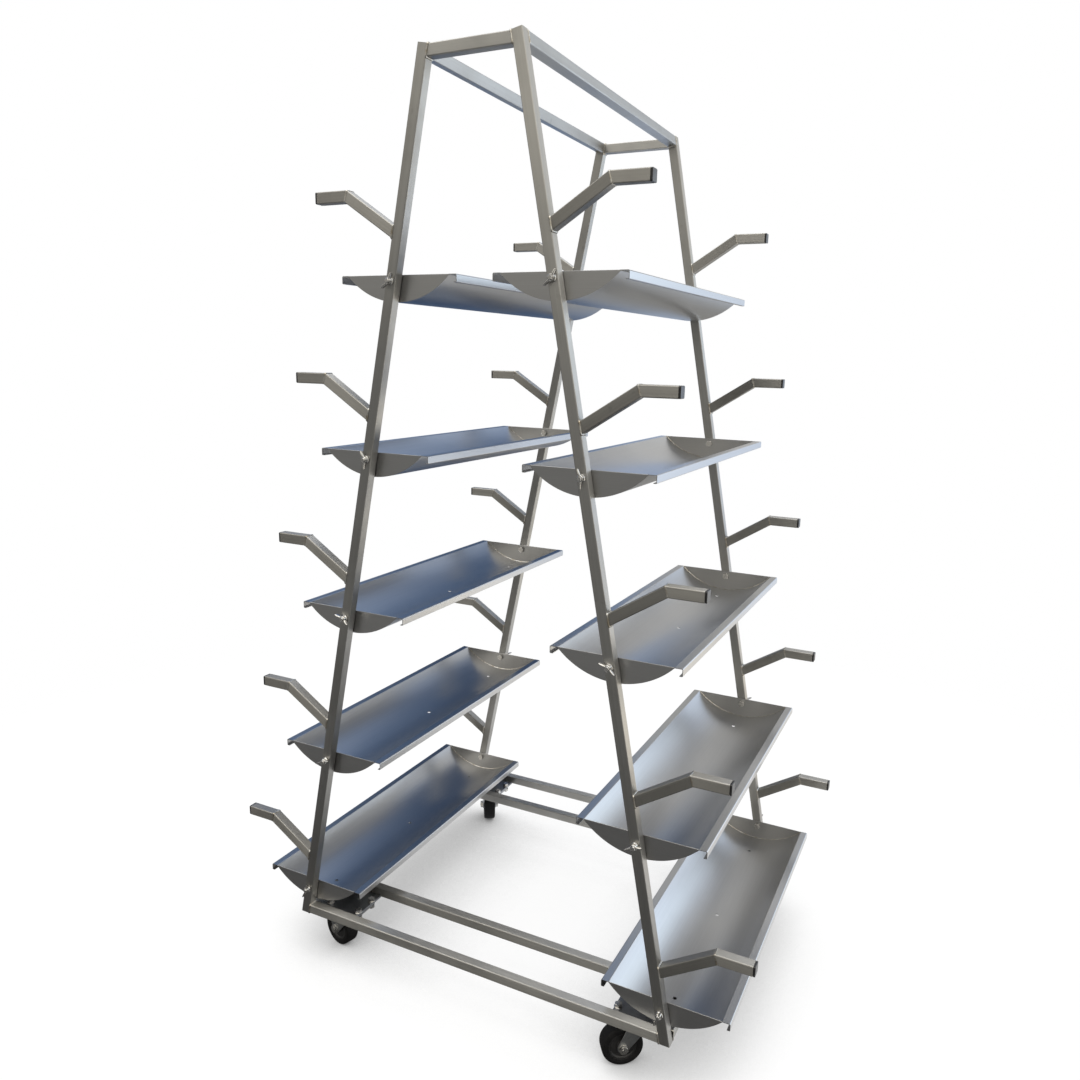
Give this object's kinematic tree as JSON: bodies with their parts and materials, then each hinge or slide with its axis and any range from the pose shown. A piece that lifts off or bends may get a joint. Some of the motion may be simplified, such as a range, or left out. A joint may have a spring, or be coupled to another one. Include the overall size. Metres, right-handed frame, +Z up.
{
  "type": "a-frame pastry rack",
  "caption": "Free-standing A-frame bakery rack of square stainless tube on swivel casters, with tilting sheet troughs and angled support arms on both slopes.",
  "frame": {"origin": "on the floor under the middle of the rack", "axes": "+Z up; +X to the right across the A, seen from the near end; +Y from the near A-frame to the far one"},
  "size_m": [1.1126, 0.7826, 1.785],
  "materials": {
    "stainless_tube": "brushed square stainless tube, ground welds",
    "stainless_sheet": "brushed stainless sheet, satin",
    "plated_steel": "plated steel fasteners, bright",
    "cap_plastic": "black moulded plastic",
    "zinc": "zinc-plated pressed steel",
    "rubber": "black rubber, matt",
    "pedal_black": "black painted pressed steel"
  },
  "bodies": {
    "frame": {"arm_end_caps": "cap_plastic", "arms_far_left": "stainless_tube", "arms_far_right": "stainless_tube", "arms_near_left": "stainless_tube", "arms_near_right": "stainless_tube", "base_rail_far_inner": "stainless_tube", "base_rail_far_outer": "stainless_tube", "base_rail_near_inner": "stainless_tube", "base_rail_near_outer": "stainless_tube", "base_side_rails": "stainless_tube", "caster_mount_plates": "stainless_tube", "caster_top_plates": "zinc", "leg_far_left": "stainless_tube", "leg_far_right": "stainless_tube", "leg_near_left": "stainless_tube", "leg_near_right": "stainless_tube", "pivot_bolts": "plated_steel", "top_bars": "stainless_tube", "top_rails": "stainless_tube"},
    "brake_pedal_far_right": {"brake_pedal_far_right": "pedal_black"},
    "brake_pedal_near_left": {"brake_pedal_near_left": "pedal_black"},
    "caster_fork_far_left": {"caster_fork_far_left": "zinc"},
    "caster_fork_far_right": {"caster_fork_far_right": "zinc"},
    "caster_fork_near_left": {"caster_fork_near_left": "zinc"},
    "caster_fork_near_right": {"caster_fork_near_right": "zinc"},
    "caster_wheel_far_left": {"caster_wheel_far_left": "rubber"},
    "caster_wheel_far_right": {"caster_wheel_far_right": "rubber"},
    "caster_wheel_near_left": {"caster_wheel_near_left": "rubber"},
    "caster_wheel_near_right": {"caster_wheel_near_right": "rubber"},
    "tray_left_1": {"tray_left_1": "stainless_sheet"},
    "tray_left_2": {"tray_left_2": "stainless_sheet"},
    "tray_left_3": {"tray_left_3": "stainless_sheet"},
    "tray_left_4": {"tray_left_4": "stainless_sheet"},
    "tray_left_5": {"tray_left_5": "stainless_sheet"},
    "tray_right_1": {"tray_right_1": "stainless_sheet"},
    "tray_right_2": {"tray_right_2": "stainless_sheet"},
    "tray_right_3": {"tray_right_3": "stainless_sheet"},
    "tray_right_4": {"tray_right_4": "stainless_sheet"},
    "tray_right_5": {"tray_right_5": "stainless_sheet"},
    "wing_nut_far_left_1": {"wing_nut_far_left_1": "plated_steel"},
    "wing_nut_far_left_2": {"wing_nut_far_left_2": "plated_steel"},
    "wing_nut_far_left_3": {"wing_nut_far_left_3": "plated_steel"},
    "wing_nut_far_left_4": {"wing_nut_far_left_4": "plated_steel"},
    "wing_nut_far_left_5": {"wing_nut_far_left_5": "plated_steel"},
    "wing_nut_far_right_1": {"wing_nut_far_right_1": "plated_steel"},
    "wing_nut_far_right_2": {"wing_nut_far_right_2": "plated_steel"},
    "wing_nut_far_right_3": {"wing_nut_far_right_3": "plated_steel"},
    "wing_nut_far_right_4": {"wing_nut_far_right_4": "plated_steel"},
    "wing_nut_far_right_5": {"wing_nut_far_right_5": "plated_steel"},
    "wing_nut_near_left_1": {"wing_nut_near_left_1": "plated_steel"},
    "wing_nut_near_left_2": {"wing_nut_near_left_2": "plated_steel"},
    "wing_nut_near_left_3": {"wing_nut_near_left_3": "plated_steel"},
    "wing_nut_near_left_4": {"wing_nut_near_left_4": "plated_steel"},
    "wing_nut_near_left_5": {"wing_nut_near_left_5": "plated_steel"},
    "wing_nut_near_right_1": {"wing_nut_near_right_1": "plated_steel"},
    "wing_nut_near_right_2": {"wing_nut_near_right_2": "plated_steel"},
    "wing_nut_near_right_3": {"wing_nut_near_right_3": "plated_steel"},
    "wing_nut_near_right_4": {"wing_nut_near_right_4": "plated_steel"},
    "wing_nut_near_right_5": {"wing_nut_near_right_5": "plated_steel"}
  },
  "joints": [
    {"name": "tray_left_1_tilt", "type": "hinge", "parent": "frame", "child": "tray_left_1", "pos_m": [-0.1558, 0, 1.418], "axis": [0, 1, 0], "range_deg": [-45, 45]},
    {"name": "tray_right_1_tilt", "type": "hinge", "parent": "frame", "child": "tray_right_1", "pos_m": [0.1558, 0, 1.418], "axis": [0, 1, 0], "range_deg": [-45, 45]},
    {"name": "tray_left_2_tilt", "type": "hinge", "parent": "frame", "child": "tray_left_2", "pos_m": [-0.21616, 0, 1.106], "axis": [0, 1, 0], "range_deg": [-45, 45]},
    {"name": "tray_right_2_tilt", "type": "hinge", "parent": "frame", "child": "tray_right_2", "pos_m": [0.21616, 0, 1.106], "axis": [0, 1, 0], "range_deg": [-45, 45]},
    {"name": "tray_left_3_tilt", "type": "hinge", "parent": "frame", "child": "tray_left_3", "pos_m": [-0.27651, 0, 0.794], "axis": [0, 1, 0], "range_deg": [-45, 45]},
    {"name": "tray_right_3_tilt", "type": "hinge", "parent": "frame", "child": "tray_right_3", "pos_m": [0.27651, 0, 0.794], "axis": [0, 1, 0], "range_deg": [-45, 45]},
    {"name": "tray_left_4_tilt", "type": "hinge", "parent": "frame", "child": "tray_left_4", "pos_m": [-0.33686, 0, 0.482], "axis": [0, 1, 0], "range_deg": [-45, 45]},
    {"name": "tray_right_4_tilt", "type": "hinge", "parent": "frame", "child": "tray_right_4", "pos_m": [0.33686, 0, 0.482], "axis": [0, 1, 0], "range_deg": [-45, 45]},
    {"name": "tray_left_5_tilt", "type": "hinge", "parent": "frame", "child": "tray_left_5", "pos_m": [-0.39721, 0, 0.17], "axis": [0, 1, 0], "range_deg": [-15, 15]},
    {"name": "tray_right_5_tilt", "type": "hinge", "parent": "frame", "child": "tray_right_5", "pos_m": [0.39721, 0, 0.17], "axis": [0, 1, 0], "range_deg": [-15, 15]},
    {"name": "wing_nut_near_left_1_turn", "type": "hinge", "parent": "frame", "child": "wing_nut_near_left_1", "pos_m": [-0.1558, -0.375, 1.418], "axis": [0, -1, 0], "continuous": true},
    {"name": "wing_nut_near_left_2_turn", "type": "hinge", "parent": "frame", "child": "wing_nut_near_left_2", "pos_m": [-0.21616, -0.375, 1.106], "axis": [0, -1, 0], "continuous": true},
    {"name": "wing_nut_near_left_3_turn", "type": "hinge", "parent": "frame", "child": "wing_nut_near_left_3", "pos_m": [-0.27651, -0.375, 0.794], "axis": [0, -1, 0], "continuous": true},
    {"name": "wing_nut_near_left_4_turn", "type": "hinge", "parent": "frame", "child": "wing_nut_near_left_4", "pos_m": [-0.33686, -0.375, 0.482], "axis": [0, -1, 0], "continuous": true},
    {"name": "wing_nut_near_left_5_turn", "type": "hinge", "parent": "frame", "child": "wing_nut_near_left_5", "pos_m": [-0.39721, -0.375, 0.17], "axis": [0, -1, 0], "continuous": true},
    {"name": "wing_nut_near_right_1_turn", "type": "hinge", "parent": "frame", "child": "wing_nut_near_right_1", "pos_m": [0.1558, -0.375, 1.418], "axis": [0, -1, 0], "continuous": true},
    {"name": "wing_nut_near_right_2_turn", "type": "hinge", "parent": "frame", "child": "wing_nut_near_right_2", "pos_m": [0.21616, -0.375, 1.106], "axis": [0, -1, 0], "continuous": true},
    {"name": "wing_nut_near_right_3_turn", "type": "hinge", "parent": "frame", "child": "wing_nut_near_right_3", "pos_m": [0.27651, -0.375, 0.794], "axis": [0, -1, 0], "continuous": true},
    {"name": "wing_nut_near_right_4_turn", "type": "hinge", "parent": "frame", "child": "wing_nut_near_right_4", "pos_m": [0.33686, -0.375, 0.482], "axis": [0, -1, 0], "continuous": true},
    {"name": "wing_nut_near_right_5_turn", "type": "hinge", "parent": "frame", "child": "wing_nut_near_right_5", "pos_m": [0.39721, -0.375, 0.17], "axis": [0, -1, 0], "continuous": true},
    {"name": "wing_nut_far_left_1_turn", "type": "hinge", "parent": "frame", "child": "wing_nut_far_left_1", "pos_m": [-0.1558, 0.375, 1.418], "axis": [0, 1, 0], "continuous": true},
    {"name": "wing_nut_far_left_2_turn", "type": "hinge", "parent": "frame", "child": "wing_nut_far_left_2", "pos_m": [-0.21616, 0.375, 1.106], "axis": [0, 1, 0], "continuous": true},
    {"name": "wing_nut_far_left_3_turn", "type": "hinge", "parent": "frame", "child": "wing_nut_far_left_3", "pos_m": [-0.27651, 0.375, 0.794], "axis": [0, 1, 0], "continuous": true},
    {"name": "wing_nut_far_left_4_turn", "type": "hinge", "parent": "frame", "child": "wing_nut_far_left_4", "pos_m": [-0.33686, 0.375, 0.482], "axis": [0, 1, 0], "continuous": true},
    {"name": "wing_nut_far_left_5_turn", "type": "hinge", "parent": "frame", "child": "wing_nut_far_left_5", "pos_m": [-0.39721, 0.375, 0.17], "axis": [0, 1, 0], "continuous": true},
    {"name": "wing_nut_far_right_1_turn", "type": "hinge", "parent": "frame", "child": "wing_nut_far_right_1", "pos_m": [0.1558, 0.375, 1.418], "axis": [0, 1, 0], "continuous": true},
    {"name": "wing_nut_far_right_2_turn", "type": "hinge", "parent": "frame", "child": "wing_nut_far_right_2", "pos_m": [0.21616, 0.375, 1.106], "axis": [0, 1, 0], "continuous": true},
    {"name": "wing_nut_far_right_3_turn", "type": "hinge", "parent": "frame", "child": "wing_nut_far_right_3", "pos_m": [0.27651, 0.375, 0.794], "axis": [0, 1, 0], "continuous": true},
    {"name": "wing_nut_far_right_4_turn", "type": "hinge", "parent": "frame", "child": "wing_nut_far_right_4", "pos_m": [0.33686, 0.375, 0.482], "axis": [0, 1, 0], "continuous": true},
    {"name": "wing_nut_far_right_5_turn", "type": "hinge", "parent": "frame", "child": "wing_nut_far_right_5", "pos_m": [0.39721, 0.375, 0.17], "axis": [0, 1, 0], "continuous": true},
    {"name": "caster_near_left_swivel", "type": "hinge", "parent": "frame", "child": "caster_fork_near_left", "pos_m": [-0.34, -0.305, 0.096], "axis": [0, 0, 1], "continuous": true},
    {"name": "caster_near_left_roll", "type": "hinge", "parent": "caster_fork_near_left", "child": "caster_wheel_near_left", "pos_m": [-0.37477, -0.29568, 0.04], "axis": [-0.2588, -0.9659, 0], "continuous": true},
    {"name": "brake_near_left_press", "type": "hinge", "parent": "caster_fork_near_left", "child": "brake_pedal_near_left", "pos_m": [-0.39602, -0.28999, 0.082], "axis": [-0.2588, -0.9659, 0], "range_deg": [0, 9]},
    {"name": "caster_near_right_swivel", "type": "hinge", "parent": "frame", "child": "caster_fork_near_right", "pos_m": [0.34, -0.305, 0.096], "axis": [0, 0, 1], "continuous": true},
    {"name": "caster_near_right_roll", "type": "hinge", "parent": "caster_fork_near_right", "child": "caster_wheel_near_right", "pos_m": [0.31051, -0.32565, 0.04], "axis": [0.5736, -0.8192, 0], "continuous": true},
    {"name": "caster_far_left_swivel", "type": "hinge", "parent": "frame", "child": "caster_fork_far_left", "pos_m": [-0.34, 0.305, 0.096], "axis": [0, 0, 1], "continuous": true},
    {"name": "caster_far_left_roll", "type": "hinge", "parent": "caster_fork_far_left", "child": "caster_wheel_far_left", "pos_m": [-0.35961, 0.33519, 0.04], "axis": [-0.8387, -0.5446, 0], "continuous": true},
    {"name": "caster_far_right_swivel", "type": "hinge", "parent": "frame", "child": "caster_fork_far_right", "pos_m": [0.34, 0.305, 0.096], "axis": [0, 0, 1], "continuous": true},
    {"name": "caster_far_right_roll", "type": "hinge", "parent": "caster_fork_far_right", "child": "caster_wheel_far_right", "pos_m": [0.30617, 0.29269, 0.04], "axis": [0.342, -0.9397, 0], "continuous": true},
    {"name": "brake_far_right_press", "type": "hinge", "parent": "caster_fork_far_right", "child": "brake_pedal_far_right", "pos_m": [0.2855, 0.28516, 0.082], "axis": [0.342, -0.9397, 0], "range_deg": [0, 9]}
  ]
}
